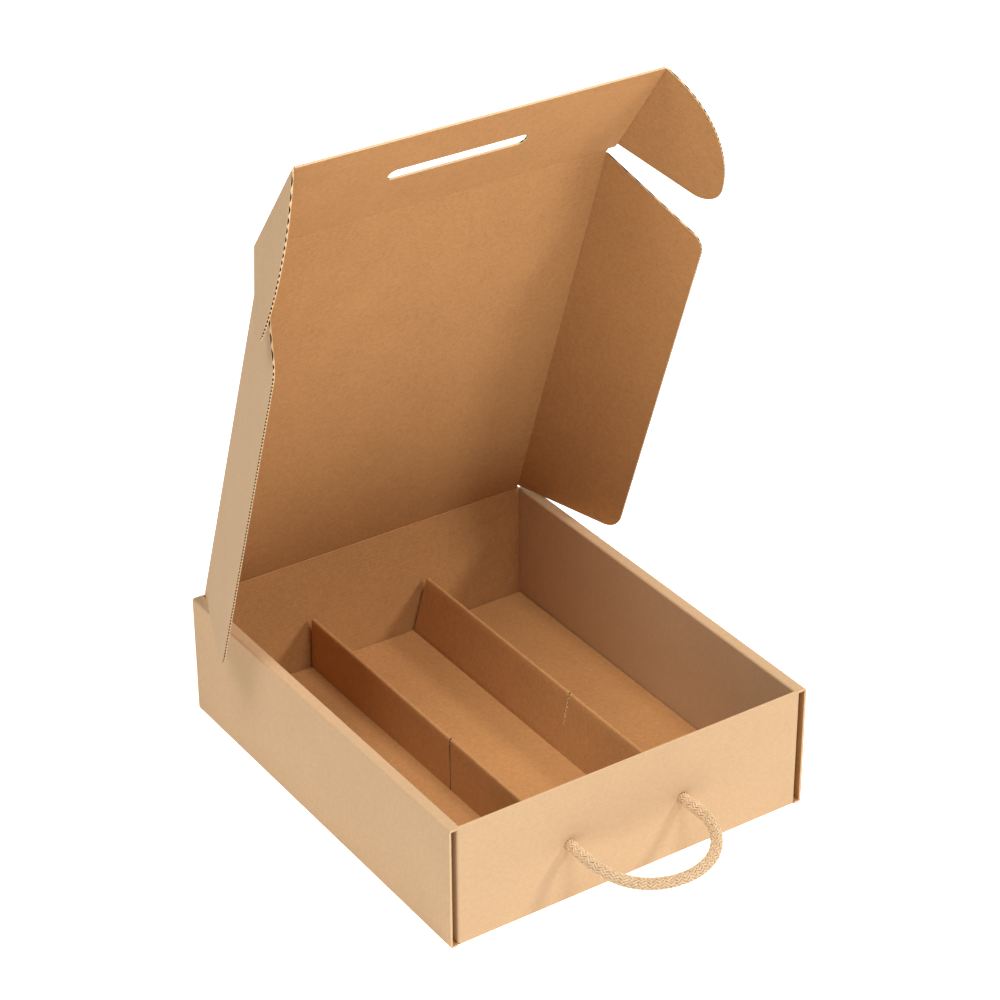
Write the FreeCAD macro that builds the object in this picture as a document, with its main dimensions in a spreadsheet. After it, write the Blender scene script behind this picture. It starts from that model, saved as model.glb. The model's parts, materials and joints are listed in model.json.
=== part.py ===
import FreeCAD, Part
import Sketcher
import math
import os

# Bottle shipping box of thin fluted board, standing open. Millimetres and degrees.
# The origin is the centre of the tray's underside: X runs across the front, Y to the back, Z up.
doc = FreeCAD.newDocument("bottle_shipping_box")

# Driving dimensions
sizes = doc.addObject("Spreadsheet::Sheet", "sizes")
DRIVING = [
    ("board", 1.6),              # thickness of the fluted board
    ("play", 0.2),               # gap between two faces of board that lie on each other
    ("width", 298.0),            # tray, outside, left to right
    ("depth", 345.0),            # tray, outside, front to back
    ("height", 97.0),            # tray, outside
    ("side_wall", 9.4),          # whole thickness of a rolled-over side wall
    ("ear_slot", 4.4),           # gap behind the outer side panel that takes an ear
    ("corner_flap", 45.0),       # length of the four corner flaps held in the side walls
    ("tab_length", 40.0),        # lock tabs of the inner side panels
    ("tab_inset", 62.0),         # a tab's near end, from the front or the back
    ("tab_play", 0.3),           # gap all round a tab in its slot
    ("fold_gap", 0.3),           # gap between a fold's bead and the panel that turns on it
    ("lid_angle", 71.0),         # angle of the lid above its closed place
    ("lid_overhang", 0.4),       # gap between the front wall and the closed front flap
    ("dust_inset", 10.6),        # fold of a dust flap, in from the tray's side
    ("ear_inset", 3.4),          # fold of an ear, in from the tray's side
    ("flap_lift", 1.0),          # the closed front flap's edge above the table
    ("flap_angle", 17.0),        # bend of the front flap from the lid's plane
    ("slot_length", 110.0),      # handle slot of the front flap
    ("slot_width", 12.0),
    ("slot_rise", 50.8),         # middle of the slot, from the front flap's fold
    ("handle_shift", -5.0),      # the handle's middle, from the box's middle
    ("dust_reach", 91.0),        # dust flap, from its fold to its free edge
    ("dust_start", 3.0),         # its lower edge at the fold, from the lid's hinge
    ("dust_rise", 20.0),         # how far that edge climbs by the free edge
    ("dust_top_gap", 3.4),       # its upper edge at the fold, from the front flap's fold
    ("dust_drop", 24.0),         # how far that edge falls by the free edge
    ("dust_low_round", 16.0),    # radius of its lower corner
    ("dust_top_round", 13.0),    # radius of its upper corner
    ("left_dust_angle", 67.5),   # bend of each dust flap from the lid's plane
    ("right_dust_angle", 69.0),
    ("ear_top_gap", 4.0),        # an ear's straight edge, from the front flap's fold
    ("ear_reach", 79.0),         # an ear, from its fold to its tip
    ("ear_tip_round", 16.0),     # radius of an ear's tip
    ("ear_curve", 97.0),         # radius of an ear's long curved edge
    ("ear_foot_gap", 1.0),       # the curve's end, from the front flap's free edge
    ("left_ear_angle", 64.0),    # bend of each ear from the front flap's plane
    ("right_ear_angle", 57.0),
    ("middle_floor", 78.0),      # the divider's floor between its two ridges
    ("ridge_base", 14.0),        # a ridge's width at its foot
    ("ridge_height", 46.0),      # a ridge's top above the divider's underside
    ("ridge_front_gap", 26.0),   # ridge's front end, from the tray's front: room for the knots
    ("divider_side_play", 0.4),  # divider to the side walls
    ("divider_end_play", 2.8),   # divider to the back wall
    ("slit_place", 148.0),       # cut across the ridges, from the tray's front
    ("slit_width", 1.0),
    ("tear_depth", 24.0),        # depth of the right ridge's cut, from its top
    ("rope_size", 9.0),          # diameter of the rope
    ("rope_hole", 10.6),         # punched hole that it goes through
    ("rope_spacing", 95.0),      # between the two holes
    ("rope_rise", 46.5),         # height of the holes
    ("knot_size", 18.0),         # diameter of a rope knot
    ("knot_seat", 3.0),          # a knot's flat face, from the tray's front
]
for row, (alias, value) in enumerate(DRIVING, start=1):
    sizes.set("A%d" % row, alias)
    sizes.set("B%d" % row, str(value))
    sizes.setAlias("B%d" % row, alias)
doc.recompute()


def size(alias):
    """A driving dimension's value."""
    return float(sizes.get(alias))


def cells(formula):
    """A formula in plain size names, with each name pointed at its cell."""
    words = []
    word = ""
    for sign in formula + " ":
        if sign.isalpha() or sign == "_":
            word += sign
            continue
        known = word in [alias for alias, value in DRIVING]
        words.append("sizes." + word if known else word)
        words.append(sign)
        word = ""
    return "".join(words).strip()


def bind(thing, **formulas):
    """Ties properties to size formulas; x, y and z are the place."""
    for name, formula in formulas.items():
        path = ".Placement.Base." + name if name in ("x", "y", "z") else name
        thing.setExpression(path, cells(str(formula)))


def panel(name, x, y, z, dx, dy, dz):
    """A flat panel of board: a block from a lowest corner, with its three sizes."""
    block = doc.addObject("Part::Box", name)
    bind(block, x=x, y=y, z=z, Length=dx, Width=dy, Height=dz)
    return block


def rod(name, x, y, z, radius, length, along, turn=0, angle=360):
    """A round along an axis. A quarter round is the outside of a square fold."""
    round_bar = doc.addObject("Part::Cylinder", name)
    across = {"X": FreeCAD.Rotation(FreeCAD.Vector(0, 1, 0), 90),
              "Y": FreeCAD.Rotation(FreeCAD.Vector(1, 0, 0), -90),
              "Z": FreeCAD.Rotation()}[along]
    spin = FreeCAD.Rotation(FreeCAD.Vector(0, 0, 1), turn)
    round_bar.Placement = FreeCAD.Placement(FreeCAD.Vector(), across.multiply(spin))
    bind(round_bar, x=x, y=y, z=z, Radius=radius, Height=length)
    round_bar.Angle = angle
    return round_bar


def join(name, pieces):
    """Panels and folds that are one sheet of board."""
    whole = doc.addObject("Part::MultiFuse", name)
    whole.Shapes = pieces
    whole.Refine = True
    return whole


def take_away(name, whole, holes):
    """The sheet with its punched holes and slits."""
    if len(holes) > 1:
        holes = [join(name + "_holes", holes)]
    punched = doc.addObject("Part::Cut", name)
    punched.Base = whole
    punched.Tool = holes[0]
    return punched


def name_part(thing, label):
    thing.Label = label
    return thing


# Tray: bottom, front and back walls, and side walls that roll over into an inner panel
def side_wall(side, tag):
    """One rolled-over side wall. side is -1 on the left and 1 on the right."""
    low = "-depth/2"

    def across(inset, thick):
        """Lowest x of a layer whose outer face lies inset from the tray's side."""
        return "-width/2+%s" % inset if side < 0 else "width/2-%s-%s" % (inset, thick)

    def line(inset):
        return "-width/2+%s" % inset if side < 0 else "width/2-%s" % inset

    pieces = [
        panel(tag + "_outer", across("0", "board"), low, "board", "board", "depth", "height-2*board"),
        panel(tag + "_strip", across("board", "(side_wall-2*board)"), low, "height-board",
              "side_wall-2*board", "depth", "board"),
        panel(tag + "_inner", across("(side_wall-board)", "board"), "-depth/2+board+play",
              "board+play", "board", "depth-2*board-2*play", "height-2*board-play"),
        rod(tag + "_foot_fold", line("board"), low, "board", "board", "depth", "Y",
            90 if side < 0 else 0, 90),
        rod(tag + "_top_fold", line("board"), low, "height-board", "board", "depth", "Y",
            180 if side < 0 else 270, 90),
        rod(tag + "_roll_fold", line("(side_wall-board)"), low, "height-board", "board", "depth", "Y",
            270 if side < 0 else 180, 90),
    ]
    for end, place in (("front", "-depth/2+tab_inset"), ("back", "depth/2-tab_inset-tab_length")):
        pieces.append(panel(tag + "_tab_" + end, across("(side_wall-board)", "board"), place,
                            "play", "board", "tab_length", "board+play"))
    return pieces


def end_wall(side, tag):
    """The front or back wall with its two corner flaps. side is -1 at the front."""
    def deep(inset, thick):
        return "-depth/2+%s" % inset if side < 0 else "depth/2-%s-%s" % (inset, thick)

    edge = "board+ear_slot"
    pieces = [
        panel(tag + "_wall", "-width/2+%s+board" % edge, deep("0", "board"), "board",
              "width-2*(%s)-2*board" % edge, "board", "height-board"),
        rod(tag + "_foot_fold", "-width/2+%s+board" % edge,
            "-depth/2+board" if side < 0 else "depth/2-board", "board", "board",
            "width-2*(%s)-2*board" % edge, "X", 270 if side < 0 else 0, 90),
    ]
    for hand, at, turn in (("left", -1, 180), ("right", 1, 270)):
        flap_x = "-width/2+" + edge if at < 0 else "width/2-(%s)-board" % edge
        fold_x = "-width/2+%s+board" % edge if at < 0 else "width/2-(%s)-board" % edge
        if side > 0:
            turn = 90 if at < 0 else 0
        pieces.append(panel(tag + "_corner_flap_" + hand, flap_x, deep("board", "corner_flap"),
                            "board+play", "board", "corner_flap", "height-2*board-2*play"))
        pieces.append(rod(tag + "_corner_fold_" + hand, fold_x,
                          "-depth/2+board" if side < 0 else "depth/2-board", "board+play",
                          "board", "height-2*board-2*play", "Z", turn, 90))
    return pieces


HINGE_Y = "depth/2-board/2"
HINGE_Z = "height+board/2+play"
LID_X = "width/2-dust_inset"

tray_pieces = [
    panel("bottom", "-width/2+board", "-depth/2+board", "0",
          "width-2*board", "depth-2*board", "board"),
]
for hand, low_x in (("left", "-width/2+board"), ("right", "width/2-board-ear_slot")):
    for end, low_y in (("front", "-depth/2"), ("back", "depth/2-board")):
        tray_pieces.append(panel("bottom_%s_%s" % (end, hand), low_x, low_y, "0",
                                 "ear_slot", "board", "board"))
tray_pieces += side_wall(-1, "left")
tray_pieces += side_wall(1, "right")
tray_pieces += end_wall(-1, "front")
tray_pieces += end_wall(1, "back")
tray_pieces.append(panel("hinge_edge", "-(%s)" % LID_X, "depth/2-board", "height",
                         "2*(%s)" % LID_X, "board", "board/2+play"))
tray_pieces.append(rod("hinge_bead", "-(%s)" % LID_X, HINGE_Y, HINGE_Z, "board/2",
                       "2*(%s)" % LID_X, "X"))
tray_sheet = join("tray_sheet", tray_pieces)

punched = []
for hand, low_x in (("left", "-width/2+side_wall-board"), ("right", "width/2-side_wall")):
    for end, low_y in (("front", "-depth/2+tab_inset"), ("back", "depth/2-tab_inset-tab_length")):
        slot_x = low_x + "-tab_play"
        slot_y = low_y + "-tab_play"
        slot = panel("tab_slot_%s_%s" % (end, hand), slot_x, slot_y, "-1",
                     "board+2*tab_play", "tab_length+2*tab_play", "board+1")
        tab = panel("tab_core_%s_%s" % (end, hand), low_x, low_y, "play",
                    "board", "tab_length", "2*board")
        punched.append(take_away("tab_gap_%s_%s" % (end, hand), slot, [tab]))
for hand, at in (("left", "-"), ("right", "+")):
    punched.append(rod("rope_hole_" + hand, "handle_shift%srope_spacing/2" % at, "-depth/2-1",
                       "rope_rise", "rope_hole/2", "board+2", "Y"))
box_tray = name_part(take_away("tray", tray_sheet, punched), "box_tray")

# Divider: one folded sheet, three floors and two hollow ridges between the bottles
RIDGE_LOW = "(board+play)"
RIDGE_TOP = "(board+play+ridge_height-board)"
INNER_FOOT = "middle_floor/2"
OUTER_FOOT = "(middle_floor/2+ridge_base)"
DIVIDER_Y = "-depth/2+board+play"
DIVIDER_LENGTH = "depth-2*board-play-divider_end_play"
RIDGE_Y = "-depth/2+ridge_front_gap"
RIDGE_LENGTH = "depth-board-divider_end_play-ridge_front_gap"


def ridge(side, tag):
    """A ridge: an upright outer ply, a rounded top fold and an inner ply that leans out to it."""
    outer_x = "-%s" % OUTER_FOOT if side < 0 else "%s-board" % OUTER_FOOT
    fold_x = "-%s" % OUTER_FOOT if side < 0 else OUTER_FOOT
    top_x = "-%s+board" % OUTER_FOOT if side < 0 else "%s-board" % OUTER_FOOT
    foot_x = "-%s" % INNER_FOOT if side < 0 else INNER_FOOT
    run = "(ridge_base-board-board/2)"
    climb = "(ridge_height-board-board/2)"
    floor_x = "-width/2+side_wall+divider_side_play" if side < 0 else OUTER_FOOT
    leaning = doc.addObject("Part::Box", tag + "_inner_ply")
    leaning.Placement.Rotation = FreeCAD.Rotation(FreeCAD.Vector(0, 1, 0), 1)
    lean = "atan(%s/%s)" % (run, climb)
    turn = lean + "*-1" if side < 0 else lean
    bind(leaning, Length="board", Width=RIDGE_LENGTH, Height="sqrt(%s^2+%s^2)" % (run, climb),
         x="%s-board/2*cos(%s)" % (foot_x, lean), y=RIDGE_Y)
    tilt = "-" if side < 0 else "+"
    bind(leaning, z="board+play+board/2%sboard/2*sin(%s)" % (tilt, lean))
    leaning.setExpression(".Placement.Rotation.Angle", cells(turn))
    return [
        panel(tag + "_floor", floor_x, DIVIDER_Y, RIDGE_LOW,
              "width/2-side_wall-divider_side_play-%s" % OUTER_FOOT, DIVIDER_LENGTH, "board"),
        panel(tag + "_outer_ply", outer_x, RIDGE_Y, "2*board+play", "board", RIDGE_LENGTH,
              "ridge_height-2*board"),
        rod(tag + "_foot_fold", fold_x, RIDGE_Y, "2*board+play", "board", RIDGE_LENGTH, "Y",
            0 if side < 0 else 90, 90),
        rod(tag + "_top_fold", top_x, RIDGE_Y, RIDGE_TOP, "board", RIDGE_LENGTH, "Y"),
        rod(tag + "_inner_fold", foot_x, RIDGE_Y, "board+play+board/2", "board/2",
            RIDGE_LENGTH, "Y"),
        leaning,
    ]


divider_pieces = [
    panel("middle_floor_panel", "-(%s)" % INNER_FOOT, DIVIDER_Y, RIDGE_LOW,
          "middle_floor", DIVIDER_LENGTH, "board"),
    panel("front_floor_edge", "-%s" % OUTER_FOOT, DIVIDER_Y, RIDGE_LOW,
          "2*%s" % OUTER_FOOT, "ridge_front_gap-board-play", "board"),
]
divider_pieces += ridge(-1, "left_ridge")
divider_pieces += ridge(1, "right_ridge")
divider_sheet = join("divider_sheet", divider_pieces)
SLIT_Y = "-depth/2+slit_place-slit_width/2"
slits = [
    panel("left_slit", "-%s-1" % OUTER_FOOT, SLIT_Y, "2*board+play",
          "ridge_base+2", "slit_width", "ridge_height"),
    panel("right_tear", "%s-1" % INNER_FOOT, SLIT_Y, "board+play+ridge_height-tear_depth",
          "ridge_base+2", "slit_width", "tear_depth+1"),
]
bottle_divider = name_part(take_away("divider", divider_sheet, slits), "bottle_divider")


# Folding panels. Each is laid out flat, with its fold along X and its reach along Y.
def place(thing, origin, along, reach):
    """Puts a flat panel at its fold: X along the fold, Y out over the panel."""
    turn = FreeCAD.Rotation(along, reach, along.cross(reach), "XYZ")
    thing.Placement = FreeCAD.Placement(origin, turn)


def bead(name, x, y, length, along):
    """The rounded edge of a panel, on the axis that the next panel turns about."""
    return rod(name, x, y, "0", "board/2", length, along)


NEAR = "(board/2+fold_gap)"
LID_REACH = "(depth+lid_overhang)"
FLAP_REACH = "(height+board/2+play-flap_lift)"
FLAP_X = "(width/2-ear_inset)"

lid_panel = join("lid", [
    panel("lid_sheet", "-(%s)" % LID_X, NEAR, "-board/2", "2*(%s)" % LID_X,
          "%s-%s" % (LID_REACH, NEAR), "board"),
    bead("lid_front_bead", "-(%s)" % LID_X, LID_REACH, "2*(%s)" % LID_X, "X"),
    bead("lid_left_bead", "-(%s)" % LID_X, "dust_start",
         "%s-dust_start-dust_top_gap" % LID_REACH, "Y"),
    bead("lid_right_bead", LID_X, "dust_start",
         "%s-dust_start-dust_top_gap" % LID_REACH, "Y"),
])
name_part(lid_panel, "lid_panel")

EAR_LENGTH = "%s-ear_top_gap-ear_foot_gap" % FLAP_REACH
flap_sheet = join("flap_sheet", [
    panel("flap_board", "-%s" % FLAP_X, NEAR, "-board/2", "2*%s" % FLAP_X,
          "%s-%s" % (FLAP_REACH, NEAR), "board"),
    bead("flap_left_bead", "-%s" % FLAP_X, "ear_top_gap", EAR_LENGTH, "Y"),
    bead("flap_right_bead", FLAP_X, "ear_top_gap", EAR_LENGTH, "Y"),
])
slot_ends = "(slot_length-slot_width)/2"
handle_slot = [
    panel("slot_middle", "handle_shift-%s" % slot_ends, "slot_rise-slot_width/2", "-board",
          "slot_length-slot_width", "slot_width", "2*board"),
    rod("slot_left_end", "handle_shift-%s" % slot_ends, "slot_rise", "-board", "slot_width/2",
        "2*board", "Z"),
    rod("slot_right_end", "handle_shift+%s" % slot_ends, "slot_rise", "-board", "slot_width/2",
        "2*board", "Z"),
]
front_flap = name_part(take_away("flap", flap_sheet, handle_slot), "front_flap")


def flat_body(label):
    """A body with an empty sketch on its own ground plane."""
    body = doc.addObject("PartDesign::Body", label + "_body")
    body.Label = label
    outline = body.newObject("Sketcher::SketchObject", label + "_outline")
    ground = [plane for plane in body.Origin.OriginFeatures if plane.Role == "XY_Plane"][0]
    outline.AttachmentSupport = [(ground, "")]
    outline.MapMode = "FlatFace"
    return body, outline


def close_lines(outline, corners):
    """Straight edges through the corners; returns their numbers."""
    edges = []
    for here, there in zip(corners, corners[1:] + corners[:1]):
        line = Part.LineSegment(FreeCAD.Vector(*here, 0), FreeCAD.Vector(*there, 0))
        edges.append(outline.addGeometry(line, False))
    for here, there in zip(edges, edges[1:] + edges[:1]):
        outline.addConstraint(Sketcher.Constraint("Coincident", here, 2, there, 1))
    return edges


def hold_point(outline, edge, end, x, y):
    """Ties an edge's end point to two size formulas, measured from the fold's start."""
    here = outline.getPoint(edge, end)
    for kind, now, formula in (("DistanceX", here.x, x), ("DistanceY", here.y, y)):
        number = outline.addConstraint(Sketcher.Constraint(kind, -1, 1, edge, end, now))
        outline.setExpression("Constraints[%d]" % number, cells(formula))


def pad(body, outline):
    """The outline as board, half its thickness to each side."""
    sheet = body.newObject("PartDesign::Pad", outline.Name + "_pad")
    sheet.Profile = outline
    sheet.setExpression("Length", cells("board"))
    sheet.Midplane = True
    doc.recompute()
    return sheet


def round_corner(body, sheet, corner, radius):
    """A rounding of the panel's corner that is nearest to the point given."""
    def gap(number):
        middle = sheet.Shape.Edges[number].CenterOfMass
        return math.hypot(middle.x - corner[0], middle.y - corner[1])

    upright = [number for number, edge in enumerate(sheet.Shape.Edges)
               if abs(edge.Vertexes[0].Z - edge.Vertexes[-1].Z) > size("board") / 2]
    nearest = min(upright, key=gap)
    rounding = body.newObject("PartDesign::Fillet", "%s_%s" % (sheet.Name, radius))
    rounding.Base = (sheet, ["Edge%d" % (nearest + 1)])
    rounding.setExpression("Radius", cells(radius))
    doc.recompute()
    return rounding


def dust_flap(label):
    """A tapered flap of the lid's side, with two rounded outer corners."""
    body, outline = flat_body(label)
    low = size("dust_start")
    high = size("depth") + size("lid_overhang") - size("dust_top_gap")
    reach = size("dust_reach")
    near = size("board") / 2 + size("fold_gap")
    low_far = low + size("dust_rise")
    high_far = high - size("dust_drop")
    edges = close_lines(outline, [(low, near), (high, near), (high_far, reach), (low_far, reach)])
    top = "%s-dust_top_gap" % LID_REACH
    hold_point(outline, edges[0], 1, "dust_start", NEAR)
    hold_point(outline, edges[1], 1, top, NEAR)
    hold_point(outline, edges[2], 1, top + "-dust_drop", "dust_reach")
    hold_point(outline, edges[3], 1, "dust_start+dust_rise", "dust_reach")
    doc.recompute()
    sheet = pad(body, outline)
    sheet = round_corner(body, sheet, (high_far, reach), "dust_top_round")
    round_corner(body, sheet, (low_far, reach), "dust_low_round")
    return body


def ear(label):
    """A tuck ear of the front flap: a straight edge, a round tip and a long curved edge."""
    body, outline = flat_body(label)
    near = size("board") / 2 + size("fold_gap")
    start = size("ear_top_gap")
    tip = size("ear_tip_round")
    curve = size("ear_curve")
    end = size("height") + size("board") / 2 + size("play") - size("flap_lift")
    end -= size("ear_foot_gap")
    tip_middle = FreeCAD.Vector(start + tip, size("ear_reach") - tip, 0)
    # The long curve's centre lies ear_curve from its foot and touches the tip's circle
    foot = FreeCAD.Vector(end, near, 0)
    span = tip_middle.sub(foot)
    far = curve - tip
    along = (curve ** 2 - far ** 2 + span.Length ** 2) / (2 * span.Length)
    aside = math.sqrt(max(curve ** 2 - along ** 2, 0))
    step = FreeCAD.Vector(span).normalize()
    square = FreeCAD.Vector(-step.y, step.x, 0)
    middle = foot + step * along + square * aside
    touch = middle + (tip_middle - middle).normalize() * curve

    def bearing(centre, point):
        return math.atan2(point.y - centre.y, point.x - centre.x)

    up = FreeCAD.Vector(0, 0, 1)
    straight = outline.addGeometry(Part.LineSegment(FreeCAD.Vector(start, near, 0),
                                                    FreeCAD.Vector(start, tip_middle.y, 0)), False)
    tip_circle = Part.Circle(tip_middle, up, tip)
    tip_arc = outline.addGeometry(Part.ArcOfCircle(
        tip_circle, bearing(tip_middle, touch), math.pi), False)
    long_circle = Part.Circle(middle, up, curve)
    long_arc = outline.addGeometry(Part.ArcOfCircle(
        long_circle, bearing(middle, foot), bearing(middle, touch)), False)
    base = outline.addGeometry(Part.LineSegment(foot, FreeCAD.Vector(start, near, 0)), False)
    for rule in (("Tangent", straight, 2, tip_arc, 2), ("Tangent", tip_arc, 1, long_arc, 2),
                 ("Coincident", long_arc, 1, base, 1), ("Coincident", base, 2, straight, 1),
                 ("Vertical", straight)):
        outline.addConstraint(Sketcher.Constraint(*rule))
    hold_point(outline, straight, 1, "ear_top_gap", NEAR)
    hold_point(outline, base, 1, "%s-ear_foot_gap" % FLAP_REACH, NEAR)
    for arc, radius in ((tip_arc, "ear_tip_round"), (long_arc, "ear_curve")):
        number = outline.addConstraint(Sketcher.Constraint("Radius", arc, size(radius)))
        outline.setExpression("Constraints[%d]" % number, cells(radius))
    number = outline.addConstraint(Sketcher.Constraint("DistanceY", -1, 1, tip_arc, 3,
                                                       tip_middle.y))
    outline.setExpression("Constraints[%d]" % number, cells("ear_reach-ear_tip_round"))
    doc.recompute()
    pad(body, outline)
    return body


left_dust_flap = dust_flap("left_dust_flap")
right_dust_flap = dust_flap("right_dust_flap")
left_ear = ear("left_ear")
right_ear = ear("right_ear")

# Places of the folds, with the lid propped open and every flap bent as it stands
right_hand = FreeCAD.Vector(1, 0, 0)
board = size("board")
hinge = FreeCAD.Vector(0, size("depth") / 2 - board / 2, size("height") + board / 2 + size("play"))
lid_turn = math.radians(180 - size("lid_angle"))
lid_way = FreeCAD.Vector(0, math.cos(lid_turn), math.sin(lid_turn))
lid_inside = right_hand.cross(lid_way)
flap_turn = lid_turn + math.radians(size("flap_angle"))
flap_way = FreeCAD.Vector(0, math.cos(flap_turn), math.sin(flap_turn))
flap_inside = right_hand.cross(flap_way)
flap_fold = hinge + lid_way * (size("depth") + size("lid_overhang"))


def bent(side, inside, angle):
    """The way out over a side flap: from sideways, turned towards the panel's inside."""
    turn = math.radians(angle)
    return right_hand * (side * math.cos(turn)) + inside * math.sin(turn)


place(lid_panel, hinge, right_hand, lid_way)
place(front_flap, flap_fold, right_hand, flap_way)
dust_x = right_hand * (size("width") / 2 - size("dust_inset"))
ear_x = right_hand * (size("width") / 2 - size("ear_inset"))
place(left_dust_flap, hinge - dust_x, lid_way, bent(-1, lid_inside, size("left_dust_angle")))
place(right_dust_flap, hinge + dust_x, lid_way, bent(1, lid_inside, size("right_dust_angle")))
place(left_ear, flap_fold - ear_x, flap_way, bent(-1, flap_inside, size("left_ear_angle")))
place(right_ear, flap_fold + ear_x, flap_way, bent(1, flap_inside, size("right_ear_angle")))

# Rope handle: a loop from hole to hole that stands forward of the front wall and droops.
# The points are offsets from the left hole's mouth: across, forward and down.
ROPE_ROUTE = [
    (0.0, 0.0, 0.0), (0.0, 12.0, 0.0), (2.5, 30.0, 4.0), (14.0, 48.5, 9.5), (35.0, 60.5, 12.6),
    (59.5, 64.0, 13.0), (81.0, 58.5, 11.6), (95.0, 46.5, 8.8), (102.0, 29.5, 5.0),
    (97.0, 12.0, 0.0), (97.0, 0.0, 0.0),
]
rope_start = FreeCAD.Vector(size("handle_shift") - size("rope_spacing") / 2,
                            -size("depth") / 2 + size("knot_seat"), size("rope_rise"))
stretch = size("rope_spacing") / ROPE_ROUTE[-1][0]
route = [rope_start + FreeCAD.Vector(across * stretch, -forward, -down)
         for across, forward, down in ROPE_ROUTE]


def rope_line(points):
    """Straight runs joined by the largest tangent arcs that they allow."""
    share = 0.45
    edges = []
    here = points[0]
    for before, corner, after in zip(points, points[1:], points[2:]):
        back = (before - corner)
        ahead = (after - corner)
        trim = share * min(back.Length, ahead.Length)
        turn = math.pi - back.getAngle(ahead)
        print("rope arc radius %.1f" % (trim / math.tan(turn / 2)))
        into = corner + FreeCAD.Vector(back).normalize() * trim
        out = corner + FreeCAD.Vector(ahead).normalize() * trim
        inward = FreeCAD.Vector(back).normalize() + FreeCAD.Vector(ahead).normalize()
        radius = trim / math.tan(turn / 2)
        centre = corner + inward.normalize() * (radius / math.cos(turn / 2))
        middle = centre - inward.normalize() * radius
        edges.append(Part.LineSegment(here, into).toShape())
        edges.append(Part.Arc(into, middle, out).toShape())
        here = out
    edges.append(Part.LineSegment(here, points[-1]).toShape())
    return Part.Wire(edges)


path = rope_line(route)
section = Part.Wire(Part.Circle(route[0], FreeCAD.Vector(0, 1, 0), size("rope_size") / 2).toShape())
rope_solid = path.makePipeShell([section], True, False)
print("rope length %.1f" % path.Length)
print("rope volume %.1f of %.1f" % (rope_solid.Volume,
                                    path.Length * math.pi * size("rope_size") ** 2 / 4))
rope_handle = doc.addObject("Part::Feature", "rope")
rope_handle.Shape = rope_solid
rope_handle.Placement = FreeCAD.Placement()
name_part(rope_handle, "rope_handle")


# Knots: the rope's ends behind the front wall, each with a flat face against its rope
def knot(label, side):
    at_x = "handle_shift%srope_spacing/2" % side
    ball = doc.addObject("Part::Sphere", label + "_ball")
    bind(ball, Radius="knot_size/2", x=at_x, y="-depth/2+knot_seat+0.4*knot_size", z="rope_rise")
    front = panel(label + "_front", at_x + "-knot_size", "-depth/2-knot_size+knot_seat",
                  "rope_rise-knot_size", "2*knot_size", "knot_size", "2*knot_size")
    return name_part(take_away(label + "_solid", ball, [front]), label)


rope_knot_left = knot("rope_knot_left", "-")
rope_knot_right = knot("rope_knot_right", "+")

doc.recompute()
parts = [box_tray, bottle_divider, lid_panel, front_flap, left_ear, right_ear,
         left_dust_flap, right_dust_flap, rope_handle, rope_knot_left, rope_knot_right]
for thing in doc.Objects:
    if "Invalid" in thing.State or "Error" in thing.State:
        raise RuntimeError("failed: " + thing.Name)
os.makedirs("parts", exist_ok=True)
for thing in parts:
    if thing.Shape.isNull() or not thing.Shape.isValid():
        raise RuntimeError("bad shape: " + thing.Label)
    print("%s solids %d volume %.0f" % (thing.Label, len(thing.Shape.Solids), thing.Shape.Volume))
for name, point in (("lid hinge", hinge), ("flap fold", flap_fold)):
    print("%s %.3f %.3f" % (name, point.y, point.z))
for name, way in (("lid way", lid_way), ("flap way", flap_way)):
    print("%s %.6f %.6f" % (name, way.y, way.z))
for thing in parts:
    thing.Shape.exportStep("parts/%s.step" % thing.Label)
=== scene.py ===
import json
import math

import bmesh
import bpy
import numpy as np
from mathutils import Matrix, Vector


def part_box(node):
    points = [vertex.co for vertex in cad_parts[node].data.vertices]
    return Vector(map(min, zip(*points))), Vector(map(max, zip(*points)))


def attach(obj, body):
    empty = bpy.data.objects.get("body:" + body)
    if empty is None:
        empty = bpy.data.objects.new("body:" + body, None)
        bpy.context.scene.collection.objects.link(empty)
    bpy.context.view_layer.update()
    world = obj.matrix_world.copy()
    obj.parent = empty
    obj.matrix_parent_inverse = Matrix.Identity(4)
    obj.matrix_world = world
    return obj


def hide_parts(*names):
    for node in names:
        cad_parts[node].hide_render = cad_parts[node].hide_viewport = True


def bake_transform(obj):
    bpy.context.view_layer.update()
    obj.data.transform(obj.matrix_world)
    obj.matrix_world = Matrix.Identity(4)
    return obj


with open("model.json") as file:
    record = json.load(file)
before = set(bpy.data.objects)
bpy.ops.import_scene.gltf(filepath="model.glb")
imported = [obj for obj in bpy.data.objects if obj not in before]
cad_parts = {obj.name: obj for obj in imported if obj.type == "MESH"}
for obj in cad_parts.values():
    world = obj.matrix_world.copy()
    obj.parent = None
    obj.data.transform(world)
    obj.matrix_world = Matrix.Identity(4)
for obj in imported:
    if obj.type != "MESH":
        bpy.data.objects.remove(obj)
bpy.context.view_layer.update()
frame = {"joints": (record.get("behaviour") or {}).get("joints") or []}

# A box for three bottles, folded from one sheet of brown fluted board, with a loose folded
# divider inside and a rope handle knotted through the front wall. The lid stands open on its
# own side flaps, which lie across the side walls.
joints = {joint["name"]: joint for joint in frame["joints"]}
scene = bpy.context.scene
scene.view_settings.view_transform = "Standard"

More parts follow.
